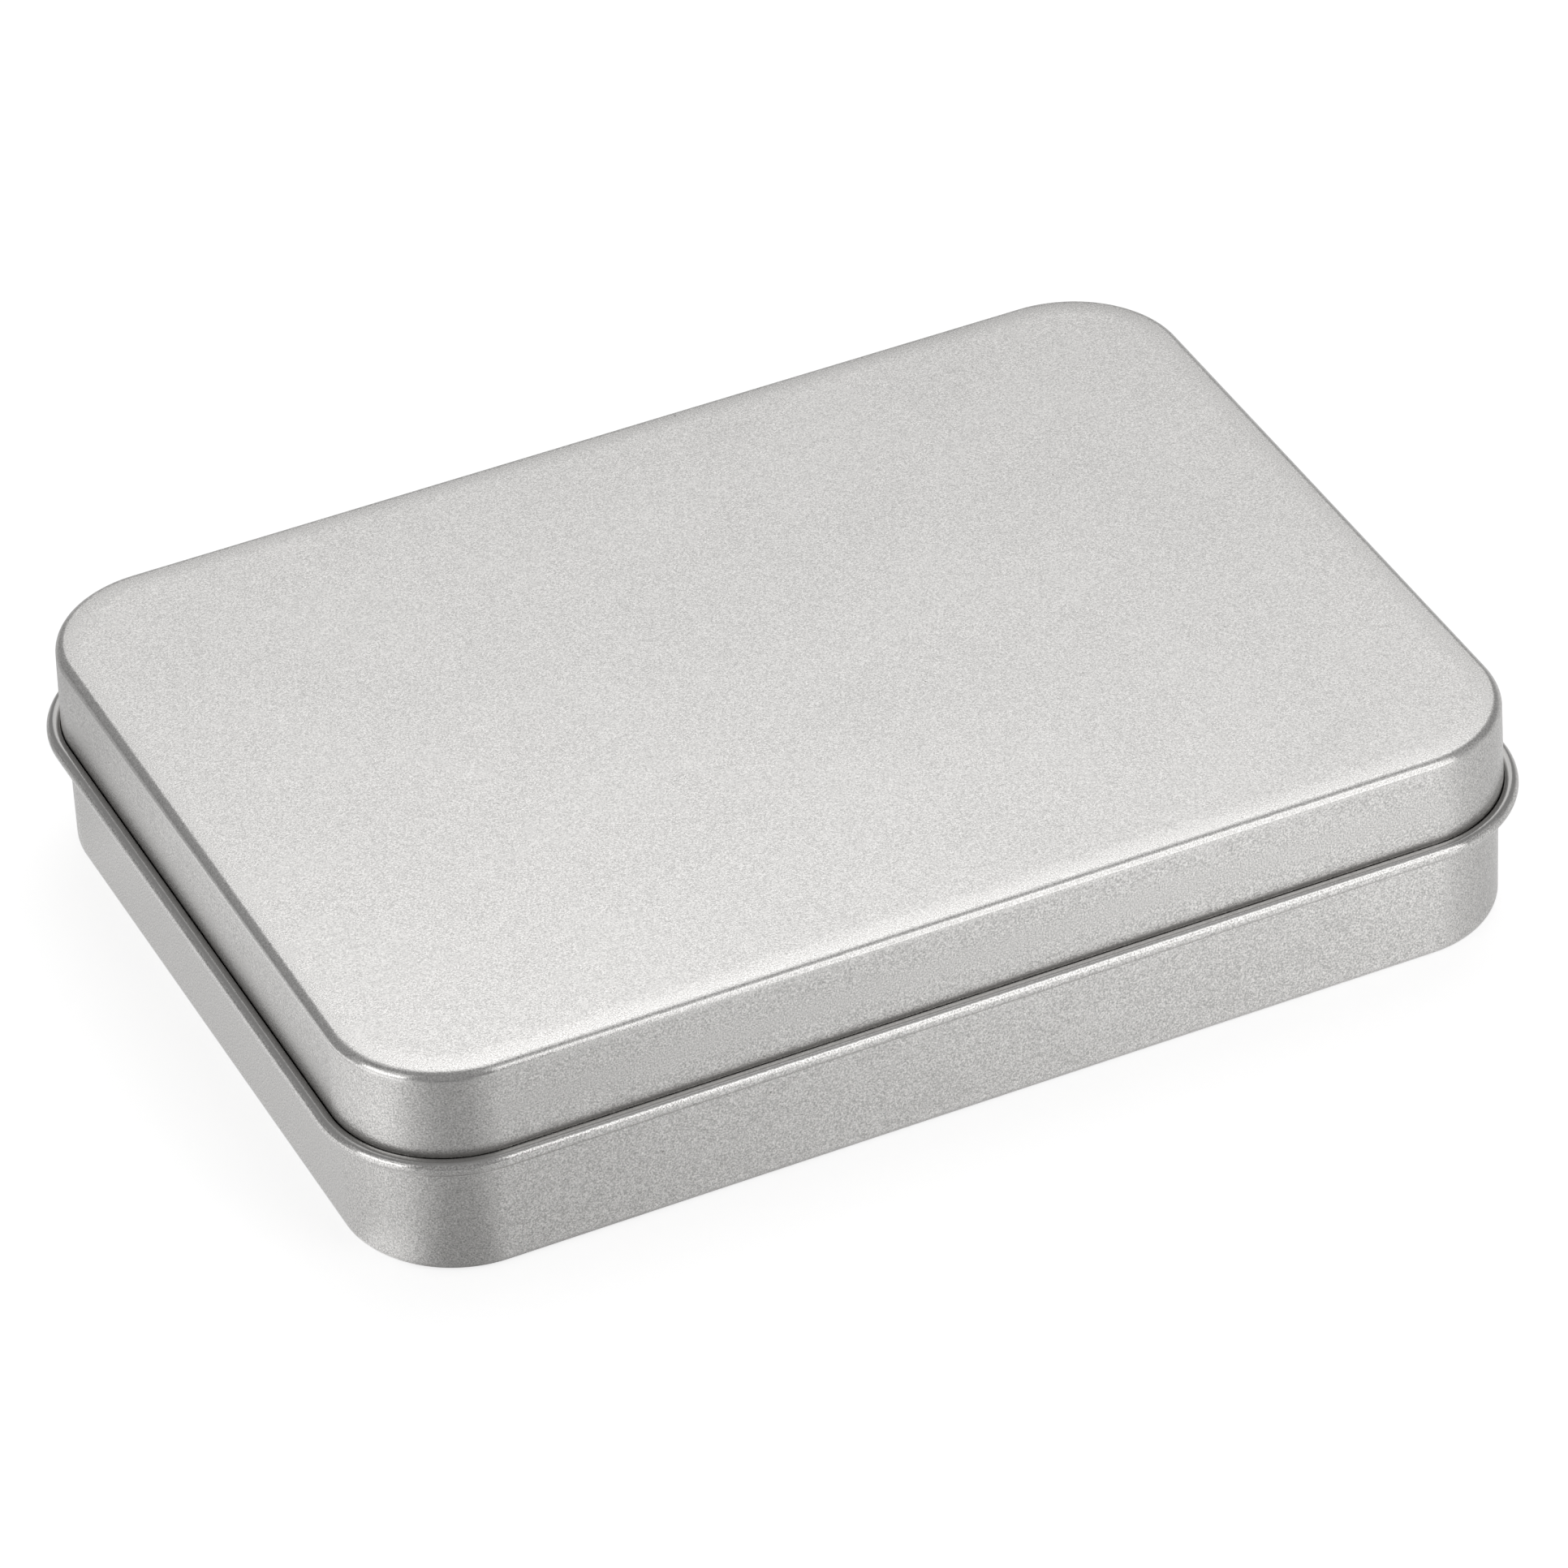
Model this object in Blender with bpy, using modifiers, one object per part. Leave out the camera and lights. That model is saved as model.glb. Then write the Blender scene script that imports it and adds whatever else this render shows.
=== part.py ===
"""A rectangular tin with a lift-off lid, pressed from tinplate. +Z up, origin under the middle of the base.

The base and the lid are each one drawn sheet: a flat panel turned through a rounded edge into a wall, and
the wall's raw edge rolled into a hollow curl. The base rolls its rim inwards, so that the outside stays
smooth for the lid to slide over, and the lid rolls its foot outwards, as the bead to lift it by.
"""

import math

import bmesh
import bpy
from mathutils import Vector

# The whole tin
TIN_HEIGHT = 0.0290  # underside of the base to top of the lid
SHEET = 0.00023  # tinplate, the same gauge for both pieces
CURL_MOUTH = 0.00005  # slit between a curl's raw edge and the wall that it rolls back to

# The lid, measured outside its skirt at the foot
LID_LENGTH = 0.1500
LID_WIDTH = 0.1100
LID_CORNER_RADIUS = 0.0150
LID_DEPTH = 0.0135  # top of the panel to underside of the curl
LID_EDGE_RADIUS = 0.0013
LID_FLARE = 0.00015  # how far the skirt leans out on each side, from its top to its foot
LID_CURL_DIAMETER = 0.0020

# The base, which takes its outline from the inside of the lid
FIT_CLEARANCE = 0.00025  # base wall to skirt, where the skirt is narrowest
SEAT_GAP = 0.0003  # rim of the base to the panel that rests on it
BASE_EDGE_RADIUS = 0.0013
BASE_CURL_DIAMETER = 0.0018
FOOT_WIDTH = 0.0040  # flat band around the underside that the tin stands on
FLOOR_RISE = 0.0005  # how far the floor inside that band is pressed up, to keep the sheet stiff
FLOOR_STEP_RADIUS = 0.0008  # each of the two bends of that step

# How finely the round stretches are divided
CORNER_SEGMENTS = 10
EDGE_SEGMENTS = 5
STEP_SEGMENTS = 2
CURL_SEGMENTS = 16

# Both outlines are rounded rectangles about the same four corner centres
CORE_X = LID_LENGTH / 2 - LID_CORNER_RADIUS
CORE_Y = LID_WIDTH / 2 - LID_CORNER_RADIUS
BASE_CORNER_RADIUS = LID_CORNER_RADIUS - LID_FLARE - SHEET - FIT_CLEARANCE

TINPLATE_COLOUR = (0.60, 0.59, 0.60, 1.0)
TINPLATE_ROUGHNESS = 0.38


def clear_scene():
    for thing in list(bpy.data.objects):
        bpy.data.objects.remove(thing, do_unlink=True)


def tinplate(name):
    """Satin tin-coated steel, as its own material for one piece."""
    material = bpy.data.materials.new(name)
    material.use_nodes = True
    shader = material.node_tree.nodes["Principled BSDF"]
    shader.inputs["Base Color"].default_value = TINPLATE_COLOUR
    shader.inputs["Metallic"].default_value = 1.0
    shader.inputs["Roughness"].default_value = TINPLATE_ROUGHNESS
    return material


def arc(centre_reach, centre_height, radius, start, end, segments):
    """Points (reach, height) of an arc in the wall's section. Angles are in degrees, 0 outwards and 90 up."""
    angles = [math.radians(start + (end - start) * step / segments) for step in range(segments + 1)]
    return [(centre_reach + radius * math.cos(a), centre_height + radius * math.sin(a)) for a in angles]


def curl_wrap(diameter):
    """Degrees that a curl turns through before its raw edge meets the wall that it grew from."""
    return 360 - math.degrees(math.acos(1 - 2 * (SHEET + CURL_MOUTH) / diameter))


def lid_section():
    """Middle of the lid's sheet, from the rim of its panel to the raw edge. Height 0 is under the curl."""
    edge_reach = LID_CORNER_RADIUS - LID_FLARE - LID_EDGE_RADIUS
    edge = arc(edge_reach, LID_DEPTH - LID_EDGE_RADIUS, LID_EDGE_RADIUS - SHEET / 2, 90, 0, EDGE_SEGMENTS)
    curl_radius = LID_CURL_DIAMETER / 2 - SHEET / 2
    curl_reach = LID_CORNER_RADIUS - SHEET / 2 + curl_radius
    wrap = curl_wrap(LID_CURL_DIAMETER)
    return edge + arc(curl_reach, LID_CURL_DIAMETER / 2, curl_radius, 180, 180 + wrap, CURL_SEGMENTS)


def floor_step(foot_reach):
    """The step from the raised floor down to the flat foot, as two bends that meet in one slope."""
    slope = math.degrees(math.acos(1 - FLOOR_RISE / (2 * FLOOR_STEP_RADIUS)))
    middle_reach = foot_reach - FLOOR_STEP_RADIUS * math.sin(math.radians(slope))
    floor_reach = 2 * middle_reach - foot_reach
    upper_centre = SHEET / 2 + FLOOR_RISE - FLOOR_STEP_RADIUS
    lower_centre = SHEET / 2 + FLOOR_STEP_RADIUS
    upper = arc(floor_reach, upper_centre, FLOOR_STEP_RADIUS, 90, 90 - slope, STEP_SEGMENTS)
    lower = arc(foot_reach, lower_centre, FLOOR_STEP_RADIUS, -90 - slope, -90, STEP_SEGMENTS)
    return upper + lower[1:]


def base_section():
    """Middle of the base's sheet, from the rim of its floor to the raw edge. Height 0 is the underside."""
    edge_reach = BASE_CORNER_RADIUS - BASE_EDGE_RADIUS
    step = floor_step(edge_reach - FOOT_WIDTH)
    edge = arc(edge_reach, BASE_EDGE_RADIUS, BASE_EDGE_RADIUS - SHEET / 2, -90, 0, EDGE_SEGMENTS)
    curl_radius = BASE_CURL_DIAMETER / 2 - SHEET / 2
    curl_reach = BASE_CORNER_RADIUS - SHEET / 2 - curl_radius
    # The rim reaches up to the panel, but no higher than where the lid's rounded edge would meet it
    under_panel = TIN_HEIGHT - SHEET - SEAT_GAP - BASE_CURL_DIAMETER / 2
    under_lid_edge = TIN_HEIGHT - LID_EDGE_RADIUS
    rim_height = min(under_panel, under_lid_edge)
    wrap = curl_wrap(BASE_CURL_DIAMETER)
    return step + edge + arc(curl_reach, rim_height, curl_radius, 0, wrap, CURL_SEGMENTS)


def flat_panel(mesh, reach, height):
    """A rectangular plate with its four corners rounded, which bounds the flat part of the pressing."""
    plate = bmesh.ops.create_grid(mesh, x_segments=1, y_segments=1, size=CORE_X + reach)["verts"]
    bmesh.ops.scale(mesh, vec=(1, (CORE_Y + reach) / (CORE_X + reach), 1), verts=plate)
    bmesh.ops.translate(mesh, vec=(0, 0, height), verts=plate)
    bmesh.ops.bevel(
        mesh,
        geom=plate,
        affect="VERTICES",
        offset=reach,
        offset_type="OFFSET",
        segments=CORNER_SEGMENTS,
        profile=0.5,
    )
    return list(mesh.edges)


def draw_wall(mesh, edges, section):
    """Extrudes the panel's edge along the section. Reach is measured out from the corner centres."""
    for reach, height in section:
        drawn = bmesh.ops.extrude_edge_only(mesh, edges=edges)["geom"]
        for point in [item for item in drawn if isinstance(item, bmesh.types.BMVert)]:
            centre = Vector((math.copysign(CORE_X, point.co.x), math.copysign(CORE_Y, point.co.y)))
            point.co.xy = centre + (point.co.xy - centre).normalized() * reach
            point.co.z = height
        edges = [item for item in drawn if isinstance(item, bmesh.types.BMEdge)]


def pressing(name, section, collection):
    """One drawn sheet: the panel, then the wall and its curl, then the gauge of the sheet."""
    mesh = bmesh.new()
    edges = flat_panel(mesh, *section[0])
    draw_wall(mesh, edges, section[1:])
    bmesh.ops.recalc_face_normals(mesh, faces=mesh.faces)
    data = bpy.data.meshes.new(name)
    mesh.to_mesh(data)
    mesh.free()
    data.shade_smooth()
    data.materials.append(tinplate(name + "_tinplate"))
    piece = bpy.data.objects.new(name, data)
    collection.objects.link(piece)
    gauge = piece.modifiers.new("gauge", "SOLIDIFY")
    gauge.thickness = SHEET
    gauge.offset = 0
    gauge.use_even_offset = True
    gauge.use_quality_normals = True
    piece.modifiers.new("flat_panels_shade_flat", "WEIGHTED_NORMAL")
    return piece


clear_scene()
tin = bpy.data.collections.new("rectangular_tin")
bpy.context.scene.collection.children.link(tin)

base = pressing("base", base_section(), tin)

# The lid stands on the base, and lifts straight up along Z through its own origin
lid = pressing("lid", lid_section(), tin)
lid.parent = base
lid.location = (0, 0, TIN_HEIGHT - LID_DEPTH)
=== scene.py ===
import math

import bpy
from mathutils import Matrix, Vector


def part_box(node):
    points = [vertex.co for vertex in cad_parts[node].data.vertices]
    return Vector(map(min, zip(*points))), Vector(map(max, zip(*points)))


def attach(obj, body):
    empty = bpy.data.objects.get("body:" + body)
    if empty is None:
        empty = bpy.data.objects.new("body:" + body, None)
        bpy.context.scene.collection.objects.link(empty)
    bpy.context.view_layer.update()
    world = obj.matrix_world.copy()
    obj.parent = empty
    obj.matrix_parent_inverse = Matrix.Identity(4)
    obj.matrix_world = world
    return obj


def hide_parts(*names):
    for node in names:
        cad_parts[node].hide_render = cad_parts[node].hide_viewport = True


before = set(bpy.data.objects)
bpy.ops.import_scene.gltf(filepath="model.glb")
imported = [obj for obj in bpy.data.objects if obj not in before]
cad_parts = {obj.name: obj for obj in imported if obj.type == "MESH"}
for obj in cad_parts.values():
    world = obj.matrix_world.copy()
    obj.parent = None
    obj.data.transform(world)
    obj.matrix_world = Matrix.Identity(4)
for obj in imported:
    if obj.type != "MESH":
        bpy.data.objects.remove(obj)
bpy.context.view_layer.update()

# Base of the tin. A pan drawn from one sheet of frosted tinplate: its floor stands a little above its foot,
# its wall turns up from that through a tight bend, and the wall's raw edge is rolled inwards into a hollow
# rim. Modelled as a quarter of the pan, its section drawn by spinning a point, then mirrored and thickened.
GAUGE = 0.00023
CURL_MOUTH = 0.00005  # slit between a curl's raw edge and the wall that it rolls back to
BASE_CORNER_RADIUS = 0.01437
BASE_EDGE_RADIUS = 0.0013
BASE_FOOT_WIDTH = 0.0040
PAN_RISE = 0.0005  # the pan's floor above its foot
PAN_STEP_RADIUS = 0.0008
RIM_DIAMETER = 0.0018
CORNER_STEPS = 36
ALONG_STEPS = 6
WALL_STEPS = 8
PAN_STEP_STEPS = 6
EDGE_STEPS = 14
RIM_STEPS = 44
RAW_EDGE_EASE = GAUGE / 5
RAW_EDGE_STEPS = 2
RAW_EDGE_ANGLE = 50
NEAR = GAUGE / 10  # a point this near to a plane is taken as on it
MERGE = GAUGE / 50  # points this near to each other are taken as one

base_low, base_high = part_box("base")
CORNER_X = base_high.x - BASE_CORNER_RADIUS
CORNER_Y = base_high.y - BASE_CORNER_RADIUS


def draw_point(reach, height):
    """Starts a section in the XZ plane through the corner's centre, as a plane merged to one point."""
    bpy.ops.object.select_all(action="DESELECT")
    place = (CORNER_X + reach, CORNER_Y, height)
    bpy.ops.mesh.primitive_plane_add(size=GAUGE, enter_editmode=True, location=place)
    bpy.ops.mesh.merge(type="CENTER")


def draw_line(out, up, steps=1):
    """Draws on from the last point, in equal steps."""
    step = {"value": (out / steps, 0, up / steps)}
    for _ in range(steps):
        bpy.ops.mesh.extrude_region_move(TRANSFORM_OT_translate=step)


def draw_bend(centre_reach, centre_height, degrees, steps):
    """Draws on from the last point round a centre. Positive turns from outwards to upwards."""
    centre = (CORNER_X + centre_reach, CORNER_Y, centre_height)
    bpy.ops.mesh.spin(steps=steps, angle=math.radians(degrees), center=centre, axis=(0, 1, 0))


def select_where(piece, test):
    """Selects, in edit mode, the points whose places pass a test."""
    bpy.ops.object.mode_set(mode="OBJECT")
    for part in (piece.data.polygons, piece.data.edges, piece.data.vertices):
        part.foreach_set("select", [False] * len(part))
    for point in piece.data.vertices:
        point.select = test(point.co)
    bpy.ops.object.mode_set(mode="EDIT")
    bpy.ops.mesh.select_mode(type="VERT")


def run_to_middle(x, y):
    """Extrudes what is selected by a way along the middle planes, in equal steps."""
    step = {"value": (x / ALONG_STEPS, y / ALONG_STEPS, 0)}
    for _ in range(ALONG_STEPS):
        bpy.ops.mesh.extrude_region_move(TRANSFORM_OT_translate=step)


def finish_modifier(piece, kind, **settings):
    """Adds one modifier and applies it."""
    modifier = piece.modifiers.new(kind.lower(), kind)
    for name, value in settings.items():
        setattr(modifier, name, value)
    bpy.ops.object.modifier_apply(modifier=modifier.name)


def press_from_section(name):
    """Turns the drawn section round the corner, runs it to the middle planes, mirrors and thickens it."""
    piece = bpy.context.object
    piece.name = piece.data.name = name
    bpy.ops.object.mode_set(mode="OBJECT")
    bpy.ops.object.transform_apply(location=True, rotation=True, scale=True)
    bpy.ops.object.mode_set(mode="EDIT")
    # The side that runs along Y, from the corner to the plane Y = 0
    bpy.ops.mesh.select_all(action="SELECT")
    run_to_middle(0, -CORNER_Y)
    # The corner, and the side that runs along X to the plane X = 0
    select_where(piece, lambda place: abs(place.y - CORNER_Y) < NEAR)
    corner = {"angle": math.radians(90), "center": (CORNER_X, CORNER_Y, 0), "axis": (0, 0, -1)}
    bpy.ops.mesh.spin(steps=CORNER_STEPS, **corner)
    run_to_middle(-CORNER_X, 0)
    # The flat middle, from the panel's inner edge along Y
    select_where(piece, lambda place: abs(place.x - CORNER_X) < NEAR and place.y < CORNER_Y + NEAR)
    run_to_middle(-CORNER_X, 0)
    bpy.ops.mesh.select_all(action="SELECT")
    bpy.ops.mesh.remove_doubles(threshold=MERGE)
    bpy.ops.object.mode_set(mode="OBJECT")
    finish_modifier(piece, "MIRROR", use_axis=(True, True, False), merge_threshold=MERGE)
    bpy.ops.object.mode_set(mode="EDIT")
    bpy.ops.mesh.select_all(action="SELECT")
    bpy.ops.mesh.normals_make_consistent(inside=False)
    bpy.ops.object.mode_set(mode="OBJECT")
    gauge = {"thickness": GAUGE, "offset": 0, "use_even_offset": True, "use_quality_normals": True}
    finish_modifier(piece, "SOLIDIFY", **gauge)
    raw_edge = {"width": RAW_EDGE_EASE, "segments": RAW_EDGE_STEPS, "limit_method": "ANGLE"}
    finish_modifier(piece, "BEVEL", angle_limit=math.radians(RAW_EDGE_ANGLE), **raw_edge)
    bpy.ops.object.shade_smooth()
    finish_modifier(piece, "WEIGHTED_NORMAL", keep_sharp=False)
    return piece


def curl_turn(diameter):
    """How far a curl turns before its raw edge comes back to the wall that it grew from."""
    return 360 - math.degrees(math.acos(1 - 2 * (GAUGE + CURL_MOUTH) / diameter))


foot_reach = BASE_CORNER_RADIUS - BASE_EDGE_RADIUS - BASE_FOOT_WIDTH
slope = math.degrees(math.acos(1 - PAN_RISE / (2 * PAN_STEP_RADIUS)))
step_reach = 2 * PAN_STEP_RADIUS * math.sin(math.radians(slope))
draw_point(0, GAUGE / 2 + PAN_RISE)
draw_line(foot_reach - step_reach, 0)
draw_bend(foot_reach - step_reach, GAUGE / 2 + PAN_RISE - PAN_STEP_RADIUS, -slope, PAN_STEP_STEPS)
draw_bend(foot_reach, GAUGE / 2 + PAN_STEP_RADIUS, slope, PAN_STEP_STEPS)
draw_line(BASE_FOOT_WIDTH, 0)
draw_bend(foot_reach + BASE_FOOT_WIDTH, BASE_EDGE_RADIUS, 90, EDGE_STEPS)
rim_radius = (RIM_DIAMETER - GAUGE) / 2
rim_height = base_high.z - RIM_DIAMETER / 2
draw_line(0, rim_height - BASE_EDGE_RADIUS, WALL_STEPS)
draw_bend(BASE_CORNER_RADIUS - GAUGE / 2 - rim_radius, rim_height, curl_turn(RIM_DIAMETER), RIM_STEPS)
base = press_from_section("base_pressing")

TIN_DARK = (0.360, 0.355, 0.348, 1)
TIN_LIGHT = (0.900, 0.888, 0.872, 1)
TIN_PINHOLE = (0.20, 0.19, 0.18, 1)
TIN_CREVICE_SHADE = (0.500, 0.493, 0.484, 1)  # painted shade, darker than the tin, in the crevice at the foot of a curl
CREVICE_SHADE_BELOW, CREVICE_SHADE_FULL, CREVICE_SHADE_ABOVE = 0.0003, 0.0001, 0.0005  # below, within and above a crevice's height: where the band of painted shade starts, is full and ends
FROST_SIZE = 0.00018
FROST_DETAIL = 2
FROST_DEPTH = 0.000020
FROST_CONTRAST = 1.6
DRAWN_CONTRAST = 2.2  # on the walls, where drawing has stretched the sheet
FROST_ROUGHNESS = 0.27
BURNISHED_ROUGHNESS = 0.14
BURNISHED_FLATTER = 0.6  # share of the frost's depth that is pressed out
MOTTLE_SIZE = 0.016
MOTTLE_DETAIL = 3
MOTTLE_CONTRAST = 0.10
MOTTLE_ROUGHNESS = 0.06
PINHOLE_SPACING = 0.0085
PINHOLE_RADIUS = 0.00016
# Where in the pattern the sheet was cut. The noise fades on its own grid planes, FROST_SIZE apart, so the
# height is one that keeps the tin's flat panels between them.
BASE_CUT = (0.31, 0.17, 0.05016)


class Shade:
    """A socket of a material's nodes, to which Python's own sums and products add Math nodes."""

    def __init__(self, owner, socket=None):
        self.owner = owner
        self.socket = socket

    def node(self, kind, output=0, settings=None, values=None):
        """Adds any kind of node: settings or a ramp's stops first, then its sockets' values or links."""
        node = self.owner.node_tree.nodes.new("ShaderNode" + kind)
        for name, value in (settings or {}).items():
            if name == "stops":
                self.set_stops(node.color_ramp.elements, value)
            else:
                setattr(node, name, value)
        for name, value in (values or {}).items():
            self.feed(node.inputs[name], value)
        return Shade(self.owner, node.outputs[output])

    def set_stops(self, elements, stops):
        """Gives a ramp its stops, each a position from 0 to 1 and a level of grey."""
        for position, _ in stops[1:-1]:
            elements.new(position)
        for element, (position, level) in zip(elements, stops):
            element.position = position
            element.color = (level, level, level, 1)

    def feed(self, socket, value):
        """Links a shade to a socket, or sets the socket to a plain value."""
        if isinstance(value, Shade):
            self.owner.node_tree.links.new(value.socket, socket)
        else:
            socket.default_value = value

    def math(self, operation, second, first=None):
        """Adds a Math node with this shade as its first value, unless another is given."""
        values = {0: self if first is None else first, 1: second}
        return self.node("Math", settings={"operation": operation}, values=values)

    def __add__(self, other):
        return self.math("ADD", other)

    def __sub__(self, other):
        return self.math("SUBTRACT", other)

    def __rsub__(self, other):
        return self.math("SUBTRACT", self, other)

    def __mul__(self, other):
        return self.math("MULTIPLY", other)

    __radd__ = __add__
    __rmul__ = __mul__

    def blend(self, none, full):
        """The colour that lies between two, by how far this shade has gone from 0 to 1."""
        # A Mix node's colour sockets are inputs 6 and 7 and output 2
        colours = {"Factor": self, 6: none, 7: full}
        return self.node("Mix", 2, {"data_type": "RGBA", "clamp_factor": True}, colours)

    def ramp(self, none, full):
        """0 where this shade is at one value, 1 where it is at another, and held outside them."""
        return self.node("MapRange", values={"Value": self, "From Min": none, "From Max": full})

    def span(self, start, full, full_to, end):
        """1 between the two middle values, and 0 outside the outer two."""
        return self.ramp(start, full) * self.ramp(end, full_to)

    def greys(self, stops):
        """A grey that runs straight from stop to stop as this shade goes from 0 to 1."""
        return self.node("ValToRGB", settings={"stops": stops}, values={0: self})


def tinplate(name, cut, burnished, drawn, crevice):
    """Frosted tinplate. Its cut shifts its pattern, because no two sheets match. The rest are heights: two
    bands where a forming roll has burnished the frost, the drawn wall, where the frost is coarser, and the
    crevice at the foot of a curl, where a darker colour paints the shade that the curl casts on the wall.
    """
    material = bpy.data.materials.new(name)
    material.use_nodes = True
    place = Shade(material).node("TexCoord", "Object")
    height = place.node("SeparateXYZ", "Z", values={"Vector": place})

    def band(low, high):
        return height.span(low - GAUGE, low + GAUGE, high - GAUGE, high + GAUGE)

    spot = place.node("Mapping", values={"Vector": place, "Location": cut})
    frost_values = {"Vector": spot, "Scale": 1 / FROST_SIZE, "Detail": FROST_DETAIL}
    frost = place.node("TexNoise", values=frost_values)
    mottle_values = {"Vector": spot, "Scale": 1 / MOTTLE_SIZE, "Detail": MOTTLE_DETAIL}
    mottle = place.node("TexNoise", values=mottle_values)
    contrast = FROST_CONTRAST + band(*drawn) * (DRAWN_CONTRAST - FROST_CONTRAST)
    tone = (frost - 0.5) * contrast + (mottle - 0.5) * MOTTLE_CONTRAST + 0.5
    tin = tone.blend(TIN_DARK, TIN_LIGHT)
    pinhole_values = {"Vector": spot, "Scale": 1 / PINHOLE_SPACING}
    pinhole = place.node("TexVoronoi", "Distance", values=pinhole_values) * PINHOLE_SPACING
    tin = pinhole.ramp(PINHOLE_RADIUS, PINHOLE_RADIUS / 2).blend(tin, TIN_PINHOLE)
    # Painted shade: a thin band of darker colour at the crevice's height, where the curl shades the wall
    heights = crevice - CREVICE_SHADE_BELOW, crevice - CREVICE_SHADE_FULL, crevice + CREVICE_SHADE_FULL, crevice + CREVICE_SHADE_ABOVE
    tin = height.span(*heights).blend(tin, TIN_CREVICE_SHADE)
    smooth = band(*burnished[0]) + band(*burnished[1])
    frosted = FROST_ROUGHNESS + (mottle - 0.5) * MOTTLE_ROUGHNESS
    roughness = frosted - smooth * (FROST_ROUGHNESS - BURNISHED_ROUGHNESS)
    depth = FROST_DEPTH * (1 - smooth * BURNISHED_FLATTER)
    relief = place.node("Bump", values={"Height": frost, "Distance": depth})
    shader = material.node_tree.nodes["Principled BSDF"]
    shader.inputs["Metallic"].default_value = 1
    place.feed(shader.inputs["Base Color"], tin)
    place.feed(shader.inputs["Roughness"], roughness)
    place.feed(shader.inputs["Normal"], relief)
    return material


under_rim = base_high.z - RIM_DIAMETER
base_bands = (base_low.z, base_low.z + BASE_EDGE_RADIUS), (under_rim, base_high.z)
base_wall = base_low.z + BASE_EDGE_RADIUS, base_high.z
base_tin = tinplate("base_frosted_tinplate", BASE_CUT, base_bands, base_wall, under_rim)
base.data.materials.append(base_tin)
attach(base, "base")
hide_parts("base")

# Lid of the tin. A cover drawn from the same sheet, which slides over the base: a flat panel that eases
# down at its edge, a tight shoulder, a skirt that leans out a little, and a foot rolled outwards into the
# hollow bead that a thumb lifts. Modelled the same way as the base.
LID_CORNER_RADIUS = 0.0150
LID_FLARE = 0.00015
BEAD_DIAMETER = 0.0020
SHOULDER_RADIUS = 0.0013
SHOULDER_EASE = 0.0030
SHOULDER_EASE_SLOPE = 5.0
EASE_STEPS = 10
SHOULDER_STEPS = 20
BEAD_STEPS = 48
LID_CUT = (0.11, 0.23, 0.02022)

lid_low, lid_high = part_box("lid")
bead_radius = (BEAD_DIAMETER - GAUGE) / 2
bead_height = lid_low.z + BEAD_DIAMETER / 2
shoulder_reach = LID_CORNER_RADIUS - LID_FLARE - SHOULDER_RADIUS
ease_radius = SHOULDER_EASE / math.sin(math.radians(SHOULDER_EASE_SLOPE))
ease_reach = shoulder_reach - SHOULDER_EASE
panel_height = lid_high.z - GAUGE / 2
draw_point(0, panel_height)
draw_line(ease_reach, 0)
draw_bend(ease_reach, panel_height - ease_radius, -SHOULDER_EASE_SLOPE, EASE_STEPS)
shoulder_radius = SHOULDER_RADIUS - GAUGE / 2
tilt = math.radians(SHOULDER_EASE_SLOPE)
drop = ease_radius * (1 - math.cos(tilt))
shoulder_centre_reach = shoulder_reach - shoulder_radius * math.sin(tilt)
shoulder_centre_height = panel_height - drop - shoulder_radius * math.cos(tilt)
draw_bend(shoulder_centre_reach, shoulder_centre_height, SHOULDER_EASE_SLOPE - 90, SHOULDER_STEPS)
skirt_out = LID_CORNER_RADIUS - GAUGE / 2 - shoulder_centre_reach - shoulder_radius
draw_line(skirt_out, bead_height - shoulder_centre_height, WALL_STEPS)
bead_reach = LID_CORNER_RADIUS - GAUGE / 2 + bead_radius
draw_bend(bead_reach, bead_height, curl_turn(BEAD_DIAMETER), BEAD_STEPS)
lid = press_from_section("lid_pressing")

bead_top = lid_low.z + BEAD_DIAMETER
lid_bands = (lid_low.z, bead_top), (shoulder_centre_height, lid_high.z - 2 * GAUGE)
lid_wall = lid_low.z, shoulder_centre_height
lid.data.materials.append(tinplate("lid_frosted_tinplate", LID_CUT, lid_bands, lid_wall, bead_top))
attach(lid, "lid")
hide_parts("lid")

# Floor. A wide sheet of polished white acrylic that sweeps up into a low wall. Its own glow, which the
# camera sees grow to plain white away from the tin, is brighter for metal on some sides of the tin than on
# others, which draws the walls' light and dark uprights. Metal also sees the lamps in its polish.
FLOOR_RADIUS = 2.4
FLOOR_SIDES = 96
FLOOR_SWEEP = 0.6
FLOOR_SWEEP_STEPS = 8
FLOOR_BELOW = 0.00002
FLOOR_WHITE = (0.60, 0.60, 0.60, 1)
NEAR_GLOW = (0.70, 0.70, 0.70, 1)  # leaves room for the tin's shadow
FULL_GLOW = (1, 1, 1, 1)
NO_GLOW = (0, 0, 0, 1)
FULL_GLOW_FROM, FULL_GLOW_AT = 0.25, 1.2
POLISH = 0.35
POLISH_WHITE = (0.95, 0.95, 0.95, 1)
POLISH_ROUGHNESS = 0.38
# How bright metal sees the floor, by degrees round the tin from its back, clockwise from above
FIRST_DEGREES, ALL_DEGREES = 180, 360
MIRRORED_GLOW = (
    (180, 0.26), (191, 0.10), (210, 0.09), (240, 0.44), (262, 0.66), (270, 0.68), (310, 0.47),
    (360, 0.19), (420, 0.09), (480, 0.09), (512, 0.19), (540, 0.26),
)
MIRRORED_RISE = 0.36  # how much brighter that is along the tin's right end than along its left
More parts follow.
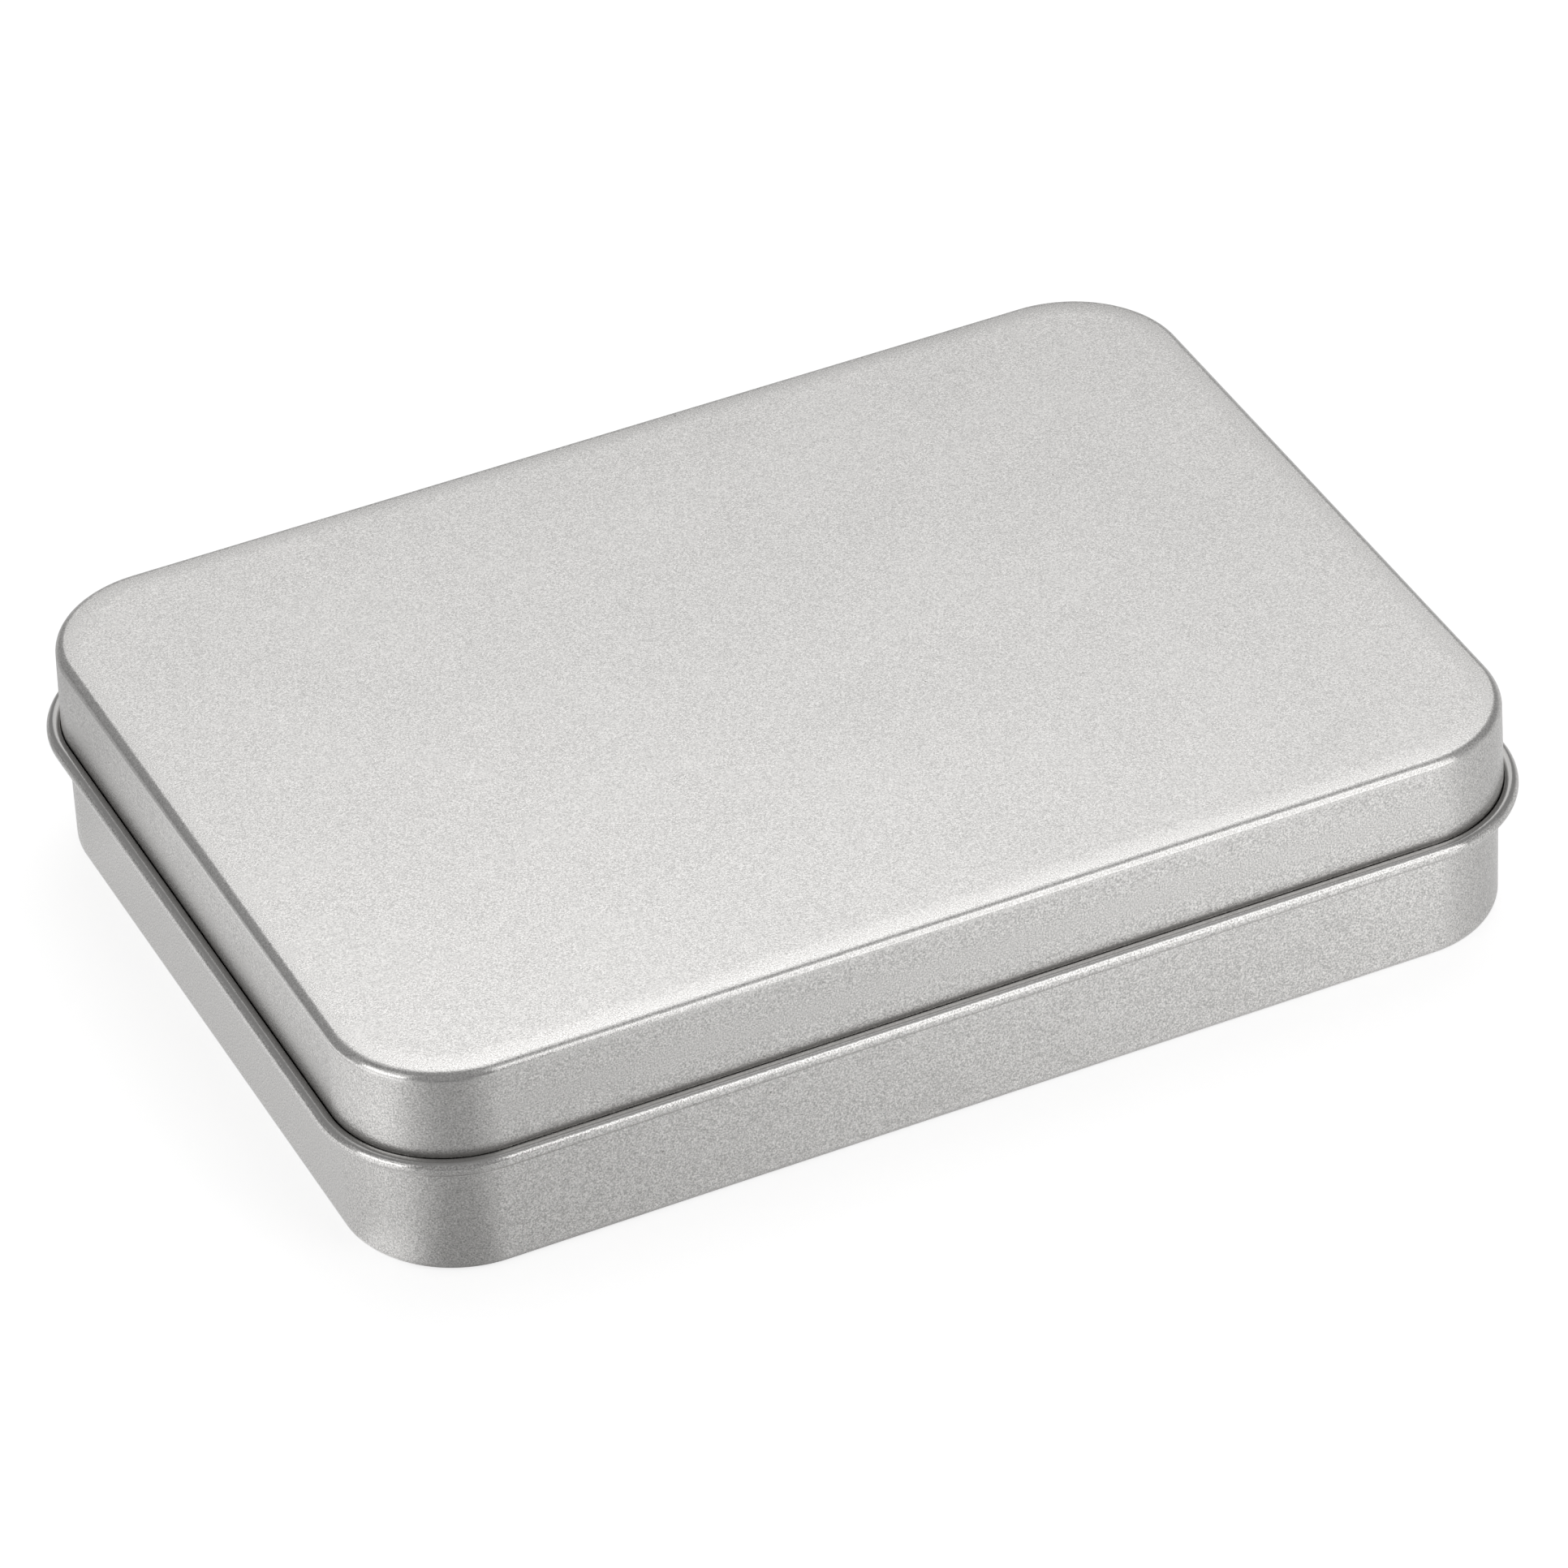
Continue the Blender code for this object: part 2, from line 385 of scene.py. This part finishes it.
# Patches where it is brighter or darker still: how far from the tin's core they start, are full, are still
# full and end, the same in degrees round the tin, and what they add
FROM_CORE = (-1, 0)
FAR_OUT = (3, 4)
FLOOR_PATCHES = (
    ((*FROM_CORE, 0.0175, 0.022), (222, 236, 254, 264), 0.34),
    ((0.034, 0.044, 0.047, 0.054), (238, 256, 276, 300), 0.45),
    ((0.047, 0.056, 0.062, 0.078), (250, 264, 325, 345), -0.28),
    ((0.062, 0.078, *FAR_OUT), (278, 296, 325, 345), -0.28),
    ((0.062, 0.090, *FAR_OUT), (230, 242, 270, 284), 0.40),
)

bpy.ops.object.select_all(action="DESELECT")
disc = {"vertices": FLOOR_SIDES, "radius": FLOOR_RADIUS, "fill_type": "NGON", "enter_editmode": True}
bpy.ops.mesh.primitive_circle_add(location=(0, 0, -FLOOR_BELOW), **disc)
bpy.ops.mesh.select_mode(type="EDGE")
bpy.ops.mesh.select_all(action="SELECT")
for step in range(FLOOR_SWEEP_STEPS):
    before, after = (math.radians(90 * count / FLOOR_SWEEP_STEPS) for count in (step, step + 1))
    inner, outer = (FLOOR_RADIUS + FLOOR_SWEEP * math.sin(angle) for angle in (before, after))
    climb = FLOOR_SWEEP * (math.cos(before) - math.cos(after))
    bpy.ops.mesh.extrude_edges_move(TRANSFORM_OT_translate={"value": (0, 0, climb)})
    bpy.ops.transform.resize(value=(outer / inner, outer / inner, 1))
bpy.ops.object.mode_set(mode="OBJECT")
floor = bpy.context.object
floor.name = floor.data.name = "floor"

acrylic = bpy.data.materials.new("white_acrylic")
acrylic.use_nodes = True
white = acrylic.node_tree.nodes["Principled BSDF"]
white.inputs["Base Color"].default_value = FLOOR_WHITE
white.inputs["Roughness"].default_value = 1
white.inputs["Specular IOR Level"].default_value = 0
white.inputs["Emission Strength"].default_value = 1
place = Shade(acrylic).node("TexCoord", "Object")
seen = place.node("LightPath", "Is Camera Ray")
mirrored = place.node("LightPath", "Is Glossy Ray") + place.node("LightPath", "Is Transmission Ray")
along_x, along_y = (place.node("SeparateXYZ", axis, values={"Vector": place}) for axis in "XY")
beyond_x = along_x - along_x.math("MINIMUM", CORNER_X).math("MAXIMUM", -CORNER_X)
beyond_y = along_y - along_y.math("MINIMUM", CORNER_Y).math("MAXIMUM", -CORNER_Y)
degrees_round = beyond_x.math("ARCTAN2", beyond_y) * (ALL_DEGREES / math.tau) + ALL_DEGREES
away = (beyond_x * beyond_x + beyond_y * beyond_y).math("POWER", 0.5)
stops = [((degrees - FIRST_DEGREES) / ALL_DEGREES, level) for degrees, level in MIRRORED_GLOW]
mirrored_glow = ((degrees_round - FIRST_DEGREES) * (1 / ALL_DEGREES)).greys(stops)
mirrored_glow = mirrored_glow + along_x.ramp(-CORNER_X, CORNER_X) * MIRRORED_RISE
for distances, degrees, added in FLOOR_PATCHES:
    mirrored_glow = mirrored_glow + away.span(*distances) * degrees_round.span(*degrees) * added
seen_glow = away.ramp(FULL_GLOW_FROM, FULL_GLOW_AT).blend(NEAR_GLOW, FULL_GLOW)
glow = seen.blend(mirrored.blend(NO_GLOW, mirrored_glow), seen_glow)
place.feed(white.inputs["Emission Color"], glow)
polish = place.node("BsdfGlossy", values={"Color": POLISH_WHITE, "Roughness": POLISH_ROUGHNESS})
surfaces = {0: mirrored * POLISH, 1: Shade(acrylic, white.outputs["BSDF"]), 2: polish}
surface = place.node("MixShader", values=surfaces)
place.feed(acrylic.node_tree.nodes["Material Output"].inputs["Surface"], surface)
floor.data.materials.append(acrylic)

# Studio. A white tent for a dim even light, and softboxes that face the tin: large ones overhead and
# behind, which the lid's panel mirrors towards the camera, some to the right for the long side and the
# bead's bright ridge, and some to the left for the short side. The camera sees none of them.
TENT_GLOW = 0.37
TIN_MIDDLE = Vector((0, 0, 0.015))
SOFTBOX_AWAY = 0.7
SOFTBOXES = (  # degrees round from the back, clockwise from above; degrees up; width; height; brightness
    ("overhead", 35, 61, 0.62, 0.42, 0.40),
    ("overhead_edge", 35, 55, 0.42, 0.12, 1.05),
    ("overhead_top", 62, 74, 0.34, 0.22, 0.70),
    ("overhead_left", 345, 66, 0.40, 0.30, 0.45),
    ("behind", 25, 38, 0.60, 0.35, 0.63),
    ("right", 152, 25, 0.36, 0.60, 1.02),
    ("right_core", 152, 46, 0.22, 0.12, 0.52),
    ("right_ridge", 148, 54, 0.40, 0.14, 0.18),
    ("right_top", 140, 60, 0.35, 0.20, 0.20),
    ("right_fill", 120, 22, 0.40, 0.45, 0.13),
    ("left", 255, 19, 0.40, 0.30, 1.02),
    ("left_glint", 257, 18, 0.42, 0.10, 0.60),
    ("left_high", 250, 40, 0.26, 0.14, 0.50),
    ("left_edge", 276, 26, 0.20, 0.30, 0.14),
)


def towards(round_from_back, raised):
    """The direction that is so many degrees round from the back and so many up from level."""
    around, lift = math.radians(round_from_back), math.radians(raised)
    return Vector((math.sin(around) * math.cos(lift), math.cos(around) * math.cos(lift), math.sin(lift)))


studio = bpy.data.worlds.new("studio")
bpy.context.scene.world = studio
studio.use_nodes = True
tent = studio.node_tree.nodes["Background"]
tent.inputs["Color"].default_value = (1, 1, 1, 1)
tent.inputs["Strength"].default_value = TENT_GLOW

for name, round_from_back, raised, width, height, brightness in SOFTBOXES:
    outwards = towards(round_from_back, raised)
    lamp = bpy.data.lights.new("softbox_" + name, "AREA")
    lamp.shape = "RECTANGLE"
    lamp.size, lamp.size_y = width, height
    lamp.energy = brightness * math.pi * width * height
    softbox = bpy.data.objects.new("softbox_" + name, lamp)
    bpy.context.scene.collection.objects.link(softbox)
    facing = outwards.to_track_quat("Z", "Y")
    softbox.matrix_world = Matrix.LocRotScale(TIN_MIDDLE + SOFTBOX_AWAY * outwards, facing, None)
    softbox.visible_camera = False

# Camera. A long lens about 1.1 m away, above the tin's front left corner, so that the tin's edges stay
# nearly parallel. It is tipped a little to the left.
CAMERA_ROUND = 203.661  # degrees round from the back, as the softboxes' are
CAMERA_RAISED = 36.615
CAMERA_ROLL = math.radians(-2.9047)
CAMERA_AWAY = 1.10749
CLIP_START, CLIP_END = 0.05, 20
LENS = 212.336
SENSOR = 36
AIM_RIGHT = 0.00093
AIM_UP = -0.002966

back = towards(CAMERA_ROUND, CAMERA_RAISED)
level = towards(CAMERA_ROUND - 90, 0)
upright = back.cross(level)
right = math.cos(CAMERA_ROLL) * level + math.sin(CAMERA_ROLL) * upright
up = math.cos(CAMERA_ROLL) * upright - math.sin(CAMERA_ROLL) * level
aim = TIN_MIDDLE + AIM_RIGHT * right + AIM_UP * up
camera = bpy.data.objects.new("camera", bpy.data.cameras.new("camera"))
bpy.context.scene.collection.objects.link(camera)
camera.data.lens = LENS
camera.data.sensor_width = SENSOR
camera.data.clip_start, camera.data.clip_end = CLIP_START, CLIP_END
axes = Matrix((right, up, back)).transposed()
camera.matrix_world = Matrix.Translation(aim + CAMERA_AWAY * back) @ axes.to_4x4()
bpy.context.scene.camera = camera
bpy.context.scene.view_settings.view_transform = "Standard"
